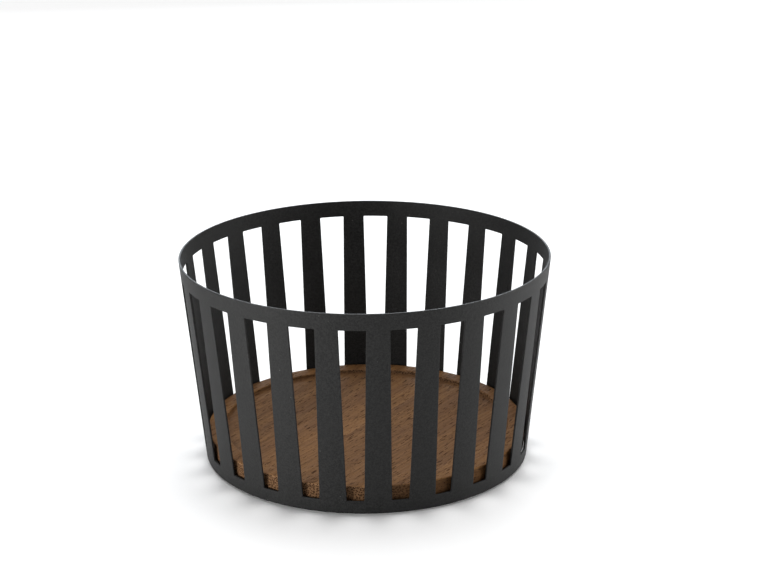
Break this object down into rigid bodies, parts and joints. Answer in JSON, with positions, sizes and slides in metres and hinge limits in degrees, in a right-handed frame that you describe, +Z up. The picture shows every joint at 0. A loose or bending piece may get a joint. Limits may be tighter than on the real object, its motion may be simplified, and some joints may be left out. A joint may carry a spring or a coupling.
{
  "type": "bread basket",
  "caption": "Round tapered bread basket: black slotted sheet-steel ring with a plain rim and base band, and a lift-out wooden base plate with a raised lip.",
  "frame": {"origin": "centre of the footprint, on the surface that the feet stand on", "axes": "+Z up along the basket's axis; -Y is the front, where a slat is centred; +X to the right"},
  "size_m": [0.23, 0.23, 0.131],
  "materials": {
    "powder_coat": "matt black fine-texture powder coat",
    "wood": "oiled dark acacia, satin",
    "rubber": "matt black"
  },
  "bodies": {
    "basket": {"basket_shell": "powder_coat", "support_tab_1": "powder_coat", "support_tab_2": "powder_coat", "support_tab_3": "powder_coat", "support_tab_4": "powder_coat", "foot_pad_1": "rubber", "foot_pad_2": "rubber", "foot_pad_3": "rubber", "foot_pad_4": "rubber"},
    "plate": {"base_plate": "wood"}
  },
  "joints": [
    {"name": "base_plate_lift", "type": "slide", "parent": "basket", "child": "plate", "axis": [0, 0, 1], "range_m": [0, 0.135]}
  ]
}
